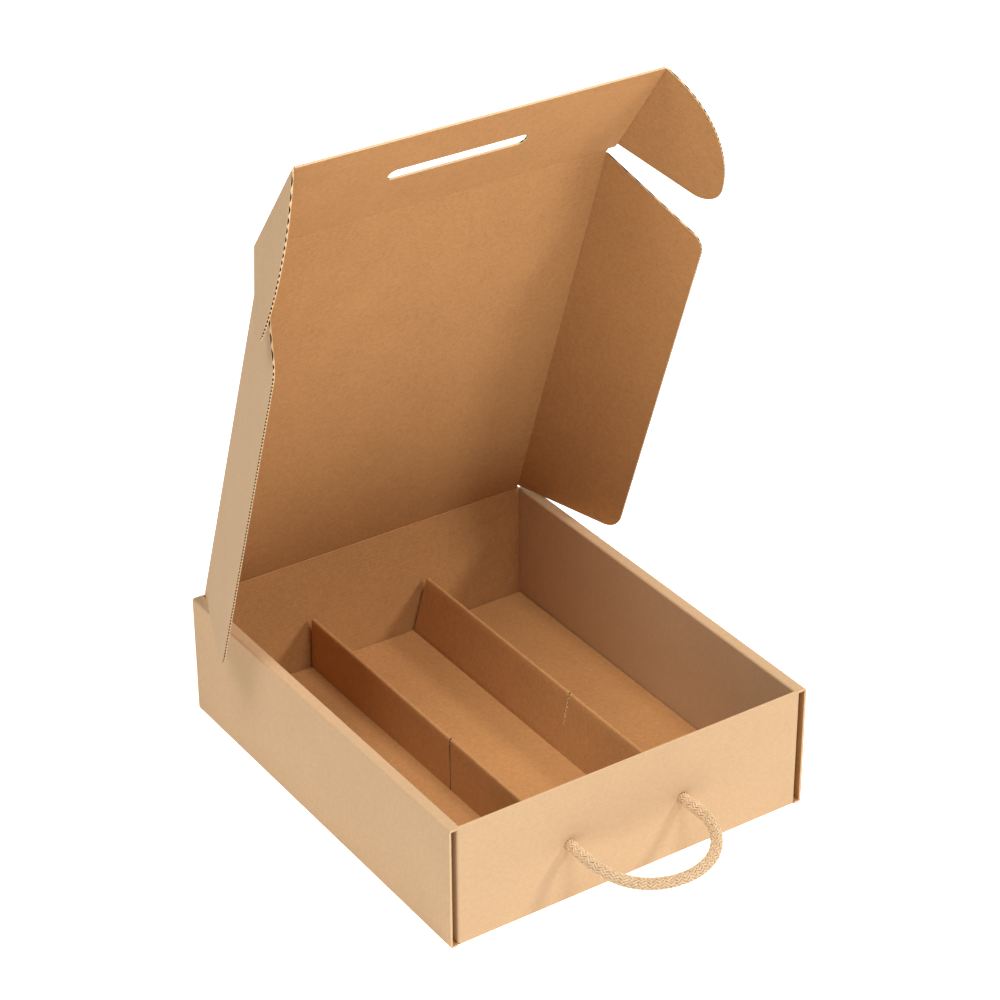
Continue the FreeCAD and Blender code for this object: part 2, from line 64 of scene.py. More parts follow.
# View of the box: a long lens, from the front left and above.
CAMERA_PLACE = (-1.012714, -1.527575, 1.288743)
CAMERA_YAW = 0.5887968
CAMERA_PITCH = 0.5299851
CAMERA_ROLL = -0.0049056
CAMERA_LENS = 109.85
camera_data = bpy.data.cameras.new("camera")
camera_data.lens = CAMERA_LENS
camera_data.sensor_fit = "HORIZONTAL"
camera_data.sensor_width = 36.0
camera_data.clip_end = 50.0
camera = bpy.data.objects.new("camera", camera_data)
camera.matrix_world = (Matrix.Translation(CAMERA_PLACE)
                       @ Matrix.Rotation(-CAMERA_YAW, 4, "Z")
                       @ Matrix.Rotation(math.pi / 2 - CAMERA_PITCH, 4, "X")
                       @ Matrix.Rotation(CAMERA_ROLL, 4, "Z"))
scene.collection.objects.link(camera)
scene.camera = camera

# Fluted board: two flat papers with a waved paper glued between them. The outer paper is paler
# than the inner one. Cut across the flutes, the edge shows the open waves as a row of dark dots, for the
# knife has flattened the waves against the inner paper. The dots' darkness is painted shade: the surfaces
# that face the hollows are painted a near black brown.
BOARD = 0.0016
LINER = 0.00017
MEDIUM = 0.00018
FLUTE_PITCH = 0.0032
FLUTE_STEPS = 8
FLUTE_SHARPNESS = 1.2
FLUTE_RECESS = 0.0006
EDGE_RECESS = 0.00008
WAVE_PLAY = 0.00002
WELD = 0.000001
CREASE_SHADE = 35.0
WAVE_RISE = BOARD / 2 - LINER - MEDIUM / 2 - WAVE_PLAY
OUTER_LINER = (0.560, 0.368, 0.206)
INNER_LINER = (0.455, 0.224, 0.082)
RAW_PAPER = (0.640, 0.430, 0.240)
# Painted shade: a near black brown for the surfaces inside the flute hollows, which are dark because little
# light gets in. It is not a colour of the paper.
HOLLOW_PAINTED_SHADE = (0.050, 0.026, 0.012)


def kraft_paper(name, colour, mottle, washboard_shade):
    """Brown paper: its colour times 1 plus the mottle's share of four noises, from cloudy patches to
    grain, less dark specks, plus the washboard share of a sine of the way across the flutes, which is
    painted shade of the flutes' ridges showing through the paper. That way is the second value of the UV
    map."""
    paper = bpy.data.materials.new(name)
    paper.use_nodes = True
    nodes = paper.node_tree.nodes
    links = paper.node_tree.links
    shader = nodes["Principled BSDF"]
    shader.inputs["Roughness"].default_value = 0.88
    shader.inputs["Specular IOR Level"].default_value = 0.25
    place = nodes.new("ShaderNodeTexCoord")

    def noise(scale, detail, roughness, distortion=0.0):
        """A noise of that many waves to the metre, from 0 to 1."""
        made = nodes.new("ShaderNodeTexNoise")
        made.inputs["Scale"].default_value = scale
        made.inputs["Detail"].default_value = detail
        made.inputs["Roughness"].default_value = roughness
        made.inputs["Distortion"].default_value = distortion
        links.new(place.outputs["Object"], made.inputs["Vector"])
        return made.outputs["Fac"]

    def reckon(operation, first, second, third=None):
        """A sum on two or three values or sockets."""
        made = nodes.new("ShaderNodeMath")
        made.operation = operation
        for slot, value in enumerate((first, second, third)):
            if value is None:
                continue
            if isinstance(value, (int, float)):
                made.inputs[slot].default_value = value
            else:
                links.new(value, made.inputs[slot])
        return made.outputs[0]

    def centred(socket, share):
        """A 0 to 1 value made to swing about 0 by the share."""
        return reckon("MULTIPLY_ADD", socket, 2 * share, -share)

    split = nodes.new("ShaderNodeSeparateXYZ")
    links.new(place.outputs["UV"], split.inputs[0])
    wave = reckon("SINE", reckon("MULTIPLY", split.outputs["Y"], 2 * math.pi / FLUTE_PITCH), 0.0)
    patches = noise(24.0, 3.0, 0.55)
    clouds = noise(330.0, 4.0, 0.6, 0.6)
    fibres = noise(720.0, 5.0, 0.75, 1.6)
    grain = noise(3200.0, 2.0, 0.6)
    specks = nodes.new("ShaderNodeMapRange")
    links.new(noise(1300.0, 2.0, 0.5, 3.0), specks.inputs["Value"])
    specks.inputs["From Min"].default_value = 0.66
    specks.inputs["From Max"].default_value = 0.74
    shade = reckon("ADD", centred(patches, 0.35 * mottle), centred(clouds, 0.9 * mottle))
    shade = reckon("ADD", shade, centred(fibres, 1.3 * mottle))
    shade = reckon("ADD", shade, centred(grain, 0.8 * mottle))
    shade = reckon("MULTIPLY_ADD", specks.outputs["Result"], -1.4 * mottle, shade)
    # Painted shade: light and dark stripes across the flutes for the ridges that show through the paper.
    shade = reckon("MULTIPLY_ADD", wave, washboard_shade, shade)
    level = reckon("ADD", shade, 1.0)
    tint = nodes.new("ShaderNodeVectorMath")
    tint.operation = "SCALE"
    tint.inputs[0].default_value = colour
    links.new(level, tint.inputs["Scale"])
    links.new(tint.outputs[0], shader.inputs["Base Color"])
    relief = reckon("MULTIPLY_ADD", wave, 0.5, reckon("ADD", fibres, grain))
    bump = nodes.new("ShaderNodeBump")
    bump.inputs["Strength"].default_value = 0.35
    bump.inputs["Distance"].default_value = 0.00008
    links.new(relief, bump.inputs["Height"])
    links.new(bump.outputs["Normal"], shader.inputs["Normal"])
    return paper


# The washboard values set how strong the painted ridge shade is on each paper.
outer_paper = kraft_paper("outer_liner", OUTER_LINER, mottle=0.11, washboard_shade=0.008)
inner_paper = kraft_paper("inner_liner", INNER_LINER, mottle=0.24, washboard_shade=0.016)
raw_paper = kraft_paper("cut_edge_paper", RAW_PAPER, mottle=0.10, washboard_shade=0.0)
# The last material and the last side number are the painted shade of the flute hollows, not a paper colour.
hollow_painted_shade = kraft_paper("flute_hollow_painted_shade", HOLLOW_PAINTED_SHADE, mottle=0.10, washboard_shade=0.0)
board_papers = (outer_paper, inner_paper, raw_paper, hollow_painted_shade)
OUTSIDE, INSIDE, RAW, SHADED_HOLLOW = 0, 1, 2, 3


def paper_layer(place, s, t, low, high, keep, low_side, high_side):
    """One paper of the board, closed all round: the surfaces h = low and h = high over a grid of rows s
    (across the flutes) and columns t (along them), walled where a kept cell meets a cut-out or the edge.
    place(s, t, h) gives the point. Returns points, faces, the faces' paper and the points' UV."""
    rows, columns = s.shape
    count = rows * columns
    lower = place(s, t, np.broadcast_to(low, s.shape))
    upper = place(s, t, np.broadcast_to(high, s.shape))
    points = np.concatenate([lower.reshape(-1, 3), upper.reshape(-1, 3)])
    number = np.arange(count).reshape(rows, columns)
    a, b = number[:-1, :-1], number[:-1, 1:]
    c, d = number[1:, 1:], number[1:, :-1]
    quads = [np.stack([a, d, c, b], -1)[keep], np.stack([a, b, c, d], -1)[keep] + count]
    papers = [np.full(len(quads[0]), low_side), np.full(len(quads[1]), high_side)]
    framed = np.zeros((rows + 1, columns + 1), bool)
    framed[1:-1, 1:-1] = keep
    left, right = framed[1:-1, :-1], framed[1:-1, 1:]
    near, far = number[:-1, :], number[1:, :]
    below, above = framed[:-1, 1:-1], framed[1:, 1:-1]
    start, end = number[:, :-1], number[:, 1:]
    walls = [
        np.stack([near, near + count, far + count, far], -1)[right & ~left],
        np.stack([near, far, far + count, near + count], -1)[left & ~right],
        np.stack([start, end, end + count, start + count], -1)[above & ~below],
        np.stack([start, start + count, end + count, end], -1)[below & ~above],
    ]
    quads += walls
    papers += [np.full(len(wall), RAW) for wall in walls]
    quads = np.concatenate(quads)
    middle = (rows // 2, columns // 2)
    here = lower[middle]
    step_s = lower[middle[0] - 1, middle[1]] - here
    step_t = lower[middle[0], middle[1] - 1] - here
    if np.dot(np.cross(step_t, step_s), upper[middle] - here) < 0:
        quads = quads[:, ::-1]
    uv = np.stack([t, s], -1).reshape(-1, 2)
    return points, quads, np.concatenate(papers), np.concatenate([uv, uv])


def paper_mesh(name, layers, papers):
    """Layers of paper as one mesh: unused points go, doubled points merge, and only edges that turn by
    more than CREASE_SHADE degrees are shaded sharp."""
    points, quads, sides, uvs = [], [], [], []
    total = 0
    for layer_points, layer_quads, layer_sides, layer_uv in layers:
        points.append(layer_points)
        quads.append(layer_quads + total)
        sides.append(layer_sides)
        uvs.append(layer_uv)
        total += len(layer_points)
    points, quads = np.concatenate(points), np.concatenate(quads)
    sides, uvs = np.concatenate(sides), np.concatenate(uvs)
    used, renumbered = np.unique(quads, return_inverse=True)
    quads = renumbered.reshape(quads.shape)
    points, uvs = points[used], uvs[used]
    mesh = bpy.data.meshes.new(name)
    mesh.vertices.add(len(points))
    mesh.vertices.foreach_set("co", points.astype(np.float32).ravel())
    mesh.loops.add(quads.size)
    mesh.loops.foreach_set("vertex_index", quads.astype(np.int32).ravel())
    mesh.polygons.add(len(quads))
    mesh.polygons.foreach_set("loop_start", np.arange(0, quads.size, 4, dtype=np.int32))
    mesh.update(calc_edges=True)
    for paper in papers:
        mesh.materials.append(paper)
    mesh.polygons.foreach_set("material_index", sides.astype(np.int32))
    mesh.polygons.foreach_set("use_smooth", np.ones(len(quads), bool))
    layer = mesh.uv_layers.new(name="way_along_and_across")
    layer.data.foreach_set("uv", uvs[quads.ravel()].astype(np.float32).ravel())
    mesh.validate()
    welded = bmesh.new()
    welded.from_mesh(mesh)
    bmesh.ops.remove_doubles(welded, verts=welded.verts, dist=WELD)
    welded.to_mesh(mesh)
    welded.free()
    mesh.set_sharp_from_angle(angle=math.radians(CREASE_SHADE))
    piece = bpy.data.objects.new(name, mesh)
    scene.collection.objects.link(piece)
    return piece


def fluted_board(name, place, breaks, columns, keep=None, shift=None, papers=None):
    """A sheet of board over rows s between the breaks, with columns(s) along the flutes. keep(s, t) says
    of each cell's middle whether it is board, and shift(s, t) gives the rows' true places. The waved paper
    lies flat on the inner paper below, and above it is h = rise times (twice a raised cosine of s to the
    power of its sharpness, less 1). The surfaces that face its hollows get painted shade, a near black brown
    for the dark inside where little light gets in. A strip closes each edge that runs along the flutes."""
    def grid(rows):
        """The rows and columns of one layer as two grids, and which cells are board."""
        t = columns(rows)
        s = np.repeat(rows[:, None], t.shape[1], 1)
        held = np.ones((len(rows) - 1, t.shape[1] - 1), bool)
        if keep is not None:
            middle_s = (s[:-1, :-1] + s[1:, 1:]) / 2
            middle_t = (t[:-1, :-1] + t[:-1, 1:] + t[1:, :-1] + t[1:, 1:]) / 4
            held = keep(middle_s, middle_t)
        if shift is not None:
            s = shift(s, t)
        return s, t, held

    breaks = np.unique(np.round(breaks, 7))
    s, t, held = grid(breaks)
    half = BOARD / 2
    # The outer paper's underside faces the hollows and gets their painted shade.
    layers = [
        paper_layer(place, s, t, half - LINER, half, held, SHADED_HOLLOW, OUTSIDE),
        paper_layer(place, s, t, -half, LINER - half, held, INSIDE, RAW),
    ]
    first, last = breaks[0] + FLUTE_RECESS, breaks[-1] - FLUTE_RECESS
    rows = np.arange(first, last, FLUTE_PITCH / FLUTE_STEPS)
    inner = breaks[(breaks > first) & (breaks < last)]
    rows = np.unique(np.round(np.concatenate([rows, inner, [first, last]]), 7))
    s, t, held = grid(rows)
    crest = (0.5 + 0.5 * np.cos(2 * math.pi * s / FLUTE_PITCH)) ** FLUTE_SHARPNESS
    wave = WAVE_RISE * (2 * crest - 1)
    # The waved paper's top faces the hollows and gets their painted shade.
    layers.append(paper_layer(place, s, t, LINER - half, wave + MEDIUM / 2, held, RAW, SHADED_HOLLOW))
    for low in (breaks[0] + EDGE_RECESS, breaks[-1] - EDGE_RECESS - LINER):
        s, t, held = grid(np.array([low, low + LINER]))
        layers.append(paper_layer(place, s, t, LINER - half, half - LINER, held, RAW, RAW))
    return paper_mesh(name, layers, papers or board_papers)


FOLD_STEPS = 6


def folded_path(corners, radius, hand, steps=FOLD_STEPS):
    """A path of straight runs with round folds in a plane: each corner gives way to an arc that touches
    both runs. Returns the way along it at each break, the points and the unit normals there; hand is 1 if
    the outer side lies to the left of the way, or -1."""
    corners = np.array(corners, float)
    ways = np.diff(corners, axis=0)
    ways /= np.linalg.norm(ways, axis=1)[:, None]
    points, normals = [corners[0]], [np.array([-ways[0][1], ways[0][0]]) * hand]
    for corner, into, out in zip(corners[1:-1], ways, ways[1:]):
        turn = math.atan2(into[0] * out[1] - into[1] * out[0], float(np.dot(into, out)))
        reach = radius * math.tan(abs(turn) / 2)
        bend = math.copysign(1, turn)
        centre = corner - into * reach + np.array([-into[1], into[0]]) * bend * radius
        angle = math.atan2(-into[0] * bend, into[1] * bend) + np.linspace(0, turn, steps + 1)
        radial = np.stack([np.cos(angle), np.sin(angle)], -1)
        points += list(centre + radial * radius)
        normals += list(radial * -bend * hand)
    points.append(corners[-1])
    normals.append(np.array([-ways[-1][1], ways[-1][0]]) * hand)
    points, normals = np.array(points), np.array(normals)
    along = np.concatenate([[0], np.cumsum(np.linalg.norm(np.diff(points, axis=0), axis=1))])
    return along, points, normals


def on_path(path, way, height):
    """The two plane coordinates: the path's point at that way along it, plus the height times its normal."""
    along, points, normals = path
    return [np.interp(way, along, points[:, axis]) + height * np.interp(way, along, normals[:, axis])
            for axis in (0, 1)]


def finish_board(piece, body, node):
    """A finished piece of board moves with its body and stands for its plain solid."""
    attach(piece, body)
    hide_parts(node)
    return piece


# Tray bottom with the front and back walls: one length of board, folded up at both ends. Its
# flutes run from side to side. The front wall has two punched holes for the rope, and the bottom
# has four slots that the side walls' tabs lock into.
PLAY = 0.0002
FOLD_RADIUS = 0.001
tray_low, tray_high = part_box("box_tray")
WIDTH = tray_high.x - tray_low.x
DEPTH = tray_high.y - tray_low.y
HEIGHT = tray_high.z - BOARD - PLAY
HALF = BOARD / 2
SIDE_WALL = 0.0094
EAR_SLOT = 0.0044
END_HALF = WIDTH / 2 - 2 * BOARD - EAR_SLOT
FLOOR_HALF = END_HALF + BOARD
TAB_LENGTH = 0.040
TAB_INSET = 0.062
TAB_PLAY = 0.0003
HANDLE_SHIFT = -0.005
ROPE_SPACING = 0.095
ROPE_RISE = 0.0465
ROPE_HOLE = 0.0086
inner_wall = WIDTH / 2 - SIDE_WALL
wall_y = DEPTH / 2 - HALF
tray_path = folded_path([(-wall_y, HEIGHT), (-wall_y, HALF), (wall_y, HALF), (wall_y, HEIGHT)],
                        FOLD_RADIUS, -1)
tray_way = tray_path[0]
floor_first, floor_last = tray_way[FOLD_STEPS + 1], tray_way[FOLD_STEPS + 2]
hole_way = HEIGHT - ROPE_RISE
hole_places = [HANDLE_SHIFT - ROPE_SPACING / 2, HANDLE_SHIFT + ROPE_SPACING / 2]
tab_rows = []
for tab_y in (-DEPTH / 2 + TAB_INSET, DEPTH / 2 - TAB_INSET - TAB_LENGTH):
    tab_rows.append((tab_y - TAB_PLAY, tab_y + TAB_LENGTH + TAB_PLAY))


def place_tray(s, t, h):
    """The path's point at the way s and height h in y and z, at x = t."""
    y, z = on_path(tray_path, s, h)
    return np.stack([t, y, z], -1)


def round_hole(away, radius):
    """Half the width of a hole's cell: the circle inside it, and beyond it a taper back to the radius."""
    inside = np.sqrt(np.maximum(radius ** 2 - away ** 2, 0))
    return np.where(np.abs(away) < radius, inside, np.minimum(np.abs(away) - radius, radius))


def tray_columns(s):
    """Columns at the sheet's two ends, at the slots' two sides and at both sides of each rope hole."""
    half = round_hole(s - hole_way, ROPE_HOLE / 2)
    on_floor = (s >= floor_first - 1e-9) & (s <= floor_last + 1e-9)
    edge = np.where(on_floor, FLOOR_HALF, END_HALF)
    slot = np.full(len(s), inner_wall - TAB_PLAY)
    far = slot + BOARD + 2 * TAB_PLAY
    slot = np.where(on_floor, slot, END_HALF - 0.003)
    far = np.where(on_floor, far, END_HALF - 0.001)
    lines = [-edge, -far, -slot]
    for middle in hole_places:
        lines += [middle - half, middle + half]
    return np.stack(lines + [slot, far, edge], 1)


def tray_keep(s, t):
    """Board everywhere but in the rope holes' circles and in the four tab slots."""
    y = np.interp(s, tray_way, tray_path[1][:, 0])
    hole = np.zeros(s.shape, bool)
    for middle in hole_places:
        hole |= (np.hypot(s - hole_way, t - middle) < ROPE_HOLE / 2)
    on_floor = (s > floor_first) & (s < floor_last)
    slot = (np.abs(t) > inner_wall - TAB_PLAY) & (np.abs(t) < inner_wall + BOARD + TAB_PLAY)
    rows = (y > tab_rows[0][0]) & (y < tab_rows[0][1]) | (y > tab_rows[1][0]) & (y < tab_rows[1][1])
    return ~hole & ~(on_floor & slot & rows)


hole_turns = np.linspace(-math.pi / 2, math.pi / 2, 17)
hole_rows = hole_way + ROPE_HOLE / 2 * np.sin(hole_turns)
slot_rows = [float(np.interp(y, tray_path[1][:, 0], tray_way)) for pair in tab_rows for y in pair]
tray_breaks = np.concatenate([tray_way, hole_rows, slot_rows,
                              [hole_rows[0] - ROPE_HOLE / 2, hole_rows[-1] + ROPE_HOLE / 2]])
tray_sheet = fluted_board("tray_bottom_and_ends", place_tray, tray_breaks, tray_columns, tray_keep)
finish_board(tray_sheet, "tray", "box_tray")

# Corner flaps: the front and back walls' ends, folded back into the hollow side walls and held
# there. Behind them lie the slots for the front flap's ears.
CORNER_FLAP = 0.045
CORNER_RADIUS = FOLD_RADIUS * 0.78
flap_mid = FLOOR_HALF - HALF
corner_path = folded_path([(END_HALF, wall_y), (flap_mid, wall_y), (flap_mid, DEPTH / 2 - CORNER_FLAP)],
                          CORNER_RADIUS, 1)


def corner_flap(name, side, end):
    """One corner flap: a run of the end wall, a fold and a panel along the side wall."""
    def place(s, t, h):
        """The corner path's point at the way t and height h in x and y, at z = s."""
        x, y = on_path(corner_path, t, h)
        return np.stack([side * x, end * y, s], -1)

    def columns(s):
        """A column at each break of the corner path."""
        return np.repeat(corner_path[0][None, :], len(s), 0)

    ends = np.array([BOARD + PLAY, HEIGHT - BOARD - PLAY])
    return fluted_board(name, place, ends, columns)


for end_name, end in (("front", -1), ("back", 1)):
    for side_name, side in (("left", -1), ("right", 1)):
        name = "tray_corner_flap_%s_%s" % (end_name, side_name)
        finish_board(corner_flap(name, side, end), "tray", "box_tray")

# Side walls: each rolls over from the bottom's edge, up, across a narrow top strip and down
# again inside, where two tabs lock it into the bottom. The flutes run up and down.
top_mid = HEIGHT - HALF
side_path = folded_path([(FLOOR_HALF, HALF), (WIDTH / 2 - HALF, HALF), (WIDTH / 2 - HALF, top_mid),
                         (inner_wall + HALF, top_mid), (inner_wall + HALF, BOARD + PLAY)],
                        FOLD_RADIUS, -1)
side_way = side_path[0]
tab_drop = BOARD
roll_start = side_way[2 * FOLD_STEPS + 3]


def side_wall(name, side):
    """One side wall, over rows from front to back."""
    def place(s, t, h):
        """The side path's point at the way t and height h in x and z, at y = s. Past the path's end it
        goes straight down, for the tabs."""
        x, z = on_path(side_path, t, h)
        below = np.maximum(t - side_way[-1], 0)
        return np.stack([side * x, s, z - below], -1)

    def columns(s):
        """A column at each break of the side path, and one at the tabs' ends."""
        line = np.concatenate([side_way, [side_way[-1] + tab_drop]])
        return np.repeat(line[None, :], len(s), 0)

    def keep(s, t):
        """The inner panel stops short of the end walls, and below it only the tabs are board."""
        inner = t > roll_start
        short = np.abs(s) > DEPTH / 2 - BOARD - PLAY
        tab = t > side_way[-1]
        at_tab = np.zeros(s.shape, bool)
        for low, high in tab_rows:
            at_tab |= (s > low + TAB_PLAY) & (s < high - TAB_PLAY)
        return ~(inner & short) & (~tab | at_tab)

    tab_ends = [value for low, high in tab_rows for value in (low + TAB_PLAY, high - TAB_PLAY)]
    inner_end = DEPTH / 2 - BOARD - PLAY
    breaks = np.array([-DEPTH / 2, -inner_end, *tab_ends, inner_end, DEPTH / 2])
    return fluted_board(name, place, breaks, columns, keep)


finish_board(side_wall("tray_side_left", -1), "tray", "box_tray")
finish_board(side_wall("tray_side_right", 1), "tray", "box_tray")

# Divider: a loose sheet of the same board, folded up twice into hollow ridges that keep three
# bottles apart. It lies on the bottom. The left ridge is slit through and the right one is torn.
divider_low, divider_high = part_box("bottle_divider")
MIDDLE_FLOOR = 0.078
RIDGE_BASE = 0.014
RIDGE_FRONT_GAP = 0.026
RIDGE_HEIGHT = divider_high.z - divider_low.z
SLIT_PLACE = 0.148
SLIT_WIDTH = 0.0014
BACK_LEAN = 0.0018
SIDE_GAP = 0.0005
PLY_AT_LEAST = 0.03
PLY_AT_MOST = 0.06
TEAR_DEPTH = 0.024
floor_z = divider_low.z + HALF
outer_x = MIDDLE_FLOOR / 2 + RIDGE_BASE - HALF
foot_x = MIDDLE_FLOOR / 2
ridge_run = RIDGE_BASE - BOARD - HALF
ridge_climb = RIDGE_HEIGHT - BOARD - HALF
peak_z = floor_z + (outer_x - foot_x) * ridge_climb / ridge_run
half_profile = [(foot_x, floor_z), (outer_x, peak_z), (outer_x, floor_z),
                (divider_high.x - SIDE_GAP, floor_z)]
divider_path = folded_path([(-x, z) for x, z in reversed(half_profile)] + half_profile,
                           HALF, -1, steps=5)
divider_way = divider_path[0]
divider_x = divider_path[1][:, 0]
slit_y = -DEPTH / 2 + SLIT_PLACE
ridge_front = -DEPTH / 2 + RIDGE_FRONT_GAP
tear_bottom = divider_high.z - TEAR_DEPTH


def place_divider(s, t, h):
    """The divider path's point at the way t and height h in x and z, at y = s."""
    x, z = on_path(divider_path, t, h)
    return np.stack([x, s, z], -1)


def divider_columns(s):
    """Columns at each fold's steps, and five more on each ply of a ridge."""
    lines = list(divider_way)
    for start, length in zip(divider_way, np.diff(divider_way)):
        if PLY_AT_LEAST < length < PLY_AT_MOST:
            lines += list(start + length * np.linspace(0.1, 0.9, 5))
    return np.repeat(np.sort(lines)[None, :], len(s), 0)


def divider_keep(s, t):
    """Board everywhere but in the ridges' front ends and in the two cuts, of which the right one is only
    as deep as the tear."""
    x = np.interp(t, divider_way, divider_x)
    z = np.interp(t, divider_way, divider_path[1][:, 1])
    ridge = (np.abs(x) > foot_x) & (np.abs(x) < outer_x + HALF) & (z > floor_z + 0.00005)
    slit = np.abs(s - slit_y) < SLIT_WIDTH / 2
    cut = slit & ridge & ((x < 0) | (z > tear_bottom))
    return ~(ridge & (s < ridge_front)) & ~cut


def divider_shift(s, t):
    """The torn edge wanders, both cuts close towards their lower ends, and the ridges' back ends lean
    away from the back wall by a share of their height."""
    x = np.interp(t, divider_way, divider_x)
    z = np.interp(t, divider_way, divider_path[1][:, 1])
    near = np.abs(s - slit_y) < SLIT_WIDTH * 0.51
    edge = np.sign(s - slit_y)
    depth = np.clip((divider_high.z - z) / TEAR_DEPTH, 0, 1)
    torn = np.where(x > 0, slit_y + 0.0009 * np.sin(z * 1900) * depth - 0.002 * depth
                    + edge * SLIT_WIDTH / 2 * (1 - 0.75 * depth),
                    slit_y + edge * SLIT_WIDTH / 2 * (1 - 0.2 * depth))
    on_ridge = (np.abs(x) > foot_x) & (np.abs(x) < outer_x + HALF)
    back = np.clip((s - slit_y - 0.002) / (divider_high.y - slit_y), 0, 1)
    lean = BACK_LEAN * back * np.clip((z - floor_z) / RIDGE_HEIGHT, 0, 1)
    return np.where(near & on_ridge, torn, np.where(on_ridge, s - lean, s))


divider_breaks = np.array([divider_low.y, ridge_front, slit_y - SLIT_WIDTH / 2,
                           slit_y + SLIT_WIDTH / 2, divider_high.y])
# The divider's flute hollows get the same painted shade.
divider_papers = (inner_paper, inner_paper, raw_paper, hollow_painted_shade)
divider = fluted_board("divider_sheet", place_divider, divider_breaks, divider_columns,
                       divider_keep, divider_shift, divider_papers)
finish_board(divider, "tray", "bottle_divider")


def torn_fibres():
    """The tear's pale torn edge: a narrow strip that wanders down the ridge's inner ply in zigzags, each
    row a few tenths of a millimetre wide and lifted off the ply by a sine of its place."""
    peak = int(np.argmin(np.abs(divider_x - outer_x) + np.abs(divider_path[1][:, 1] - peak_z)))
    top = divider_way[peak] - 0.0016
    rows = np.linspace(0, 1, 41)
    t = np.repeat((top - TEAR_DEPTH * 0.98 * rows)[:, None], 2, 1)
    centre = slit_y - 0.0004 - 0.0022 * rows + 0.0006 * np.sin(41 * rows) + 0.0004 * np.sin(97 * rows + 1)
    half = 0.0004 + 0.00015 * np.sin(63 * rows)
    s = np.stack([centre - half, centre + half], 1)
    lift = (-HALF - 0.00025 - 0.00015 * np.sin(50 * rows))[:, None]
    held = np.ones((40, 1), bool)
    return paper_mesh("divider_tear_fibres",
                      [paper_layer(place_divider, s, t, np.repeat(lift, 2, 1), np.full(s.shape, -HALF),
                                   held, RAW, RAW)], divider_papers)


finish_board(torn_fibres(), "tray", "bottle_divider")


def place_front_edge(side):
    """The flat strip under a ridge's missing front end: x grows with t, y with s, and z falls with h."""
    def place(s, t, h):
        """The point at that side, a way t out from the foot's line."""
        return np.stack([side * (foot_x + t), s, floor_z - h], -1)
    return place


for side_name, side in (("left", -1), ("right", 1)):
    edge = fluted_board("divider_front_edge_" + side_name, place_front_edge(side),
                        np.array([divider_low.y, ridge_front]),
                        lambda s: np.repeat([[0.0, RIDGE_BASE]], len(s), 0), papers=divider_papers)
    finish_board(edge, "tray", "bottle_divider")

# Creases: where two panels meet, the board is pressed thin along a line and bends there. Each is
# a narrow strip from one panel's edge to the next, curved about the fold's axis.
CREASE_REACH = 0.0011
CREASE_PINCH = 0.30
CREASE_STEPS = 8


def crease(name, axis_point, along, way_in, way_out, outside_in, outside_out,
           low, high, start_gap=CREASE_REACH):
    """A strip on the quadratic curve from one panel's edge to the next, with the fold's axis as its
    middle point. Its thickness dips by a sine towards the middle."""
    first = np.array(axis_point) - np.array(way_in) * start_gap
    last = np.array(axis_point) + np.array(way_out) * CREASE_REACH
    middle = np.array(axis_point, float)
    normal_a, normal_b = np.array(outside_in), np.array(outside_out)

    def place(s, t, h):
        """The curve's point at the share t, plus s along the fold and h along the turning normal."""
        f = t[..., None]
        line = first * (1 - f) ** 2 + middle * 2 * f * (1 - f) + last * f ** 2
        normal = normal_a * (1 - f) + normal_b * f
        normal = normal / np.linalg.norm(normal, axis=-1, keepdims=True)
        pinch = 1 - CREASE_PINCH * np.sin(math.pi * f)
        return line + np.array(along) * s[..., None] + normal * h[..., None] * pinch

    rows = np.linspace(low, high, 9)
    t = np.repeat(np.linspace(0, 1, CREASE_STEPS + 1)[None, :], len(rows), 0)
    s = np.repeat(rows[:, None], t.shape[1], 1)
    held = np.ones((len(rows) - 1, t.shape[1] - 1), bool)
    layer = paper_layer(place, s, t, -HALF, HALF, held, INSIDE, OUTSIDE)
    piece = paper_mesh(name, [layer], board_papers)
    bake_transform(piece)
    return piece


# Lid: a plain panel, creased to the back wall's top and leaning forward over the tray. The flutes
# run from side to side. Its outer paper is the paler one.
across = np.array([1.0, 0.0, 0.0])
hinge = np.array(joints["lid_hinge"]["pos_m"])
lid_way = np.array(joints["right_dust_hinge"]["axis"])
lid_out = -np.cross(across, lid_way)
flap_fold = np.array(joints["front_flap_hinge"]["pos_m"])
lid_reach = float(np.linalg.norm(flap_fold - hinge))
lid_half = joints["right_dust_hinge"]["pos_m"][0]


def place_lid(s, t, h):
    """The hinge's middle plus t across, s up the lid and h outwards."""
    return hinge + t[..., None] * across + s[..., None] * lid_way + h[..., None] * lid_out


def lid_columns(s):
    """The lid's two side edges, one crease's reach inside its folds."""
    edge = lid_half - CREASE_REACH
    return np.repeat([[-edge, edge]], len(s), 0)


lid = fluted_board("lid_board", place_lid, np.array([CREASE_REACH, lid_reach - CREASE_REACH]),
                   lid_columns)
finish_board(lid, "lid", "lid_panel")
up = np.array([0.0, 0.0, 1.0])
crease("hinge_crease", hinge, across, up, lid_way, np.array([0.0, 1.0, 0.0]), lid_out,
       -lid_half, lid_half, start_gap=hinge[2] - HEIGHT)

# Front flap: the lid's end, which tucks down in front of the tray. A long slot with round ends is
# cut in it for the rope handle.
flap_way = np.array(joints["right_ear_hinge"]["axis"])
flap_out = -np.cross(across, flap_way)
FLAP_REACH = 0.0970
flap_half = joints["right_ear_hinge"]["pos_m"][0]
SLOT_LENGTH = 0.110
SLOT_WIDTH = 0.012
SLOT_RISE = 0.0508


def place_flap(s, t, h):
    """The flap fold's middle plus t across, s up the flap and h outwards."""
    return flap_fold + t[..., None] * across + s[..., None] * flap_way + h[..., None] * flap_out


